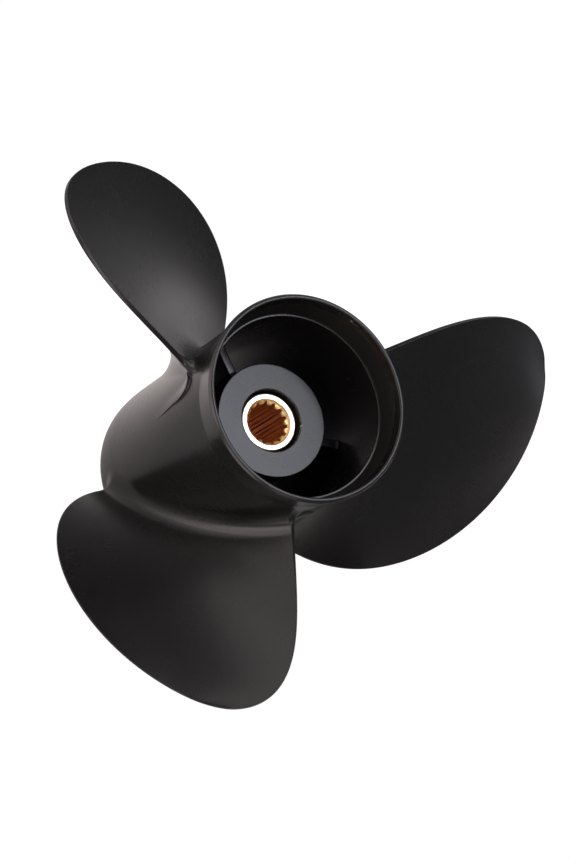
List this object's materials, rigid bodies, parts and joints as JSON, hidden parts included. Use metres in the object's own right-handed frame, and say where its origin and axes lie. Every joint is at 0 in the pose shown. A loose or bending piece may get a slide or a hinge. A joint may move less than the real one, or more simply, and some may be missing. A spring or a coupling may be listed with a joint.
{
  "type": "outboard motor propeller",
  "caption": "Right-hand bladed propeller with exhaust through its flared hub barrel, a rubber bush and a splined sleeve.",
  "frame": {"origin": "on the shaft's line, in the plane of the barrel's forward end", "axes": "+Z along the shaft and aft, towards the exhaust outlet and the propeller nut; +X and +Y square to it"},
  "size_m": [0.304, 0.2875, 0.1614],
  "materials": {
    "barrel": "satin black paint on cast aluminium",
    "blade_1": "satin black paint on cast aluminium",
    "blade_2": "satin black paint on cast aluminium",
    "blade_3": "satin black paint on cast aluminium",
    "inner_hub": "satin black paint on cast aluminium",
    "rib_1": "satin black paint on cast aluminium",
    "rib_2": "satin black paint on cast aluminium",
    "rib_3": "satin black paint on cast aluminium",
    "rubber_bush": "matt black rubber",
    "spline_sleeve": "machined bronze"
  },
  "bodies": {
    "root": {"barrel": "barrel", "blade_1": "blade_1", "blade_2": "blade_2", "blade_3": "blade_3", "inner_hub": "inner_hub", "rib_1": "rib_1", "rib_2": "rib_2", "rib_3": "rib_3", "rubber_bush": "rubber_bush", "spline_sleeve": "spline_sleeve"}
  },
  "joints": []
}
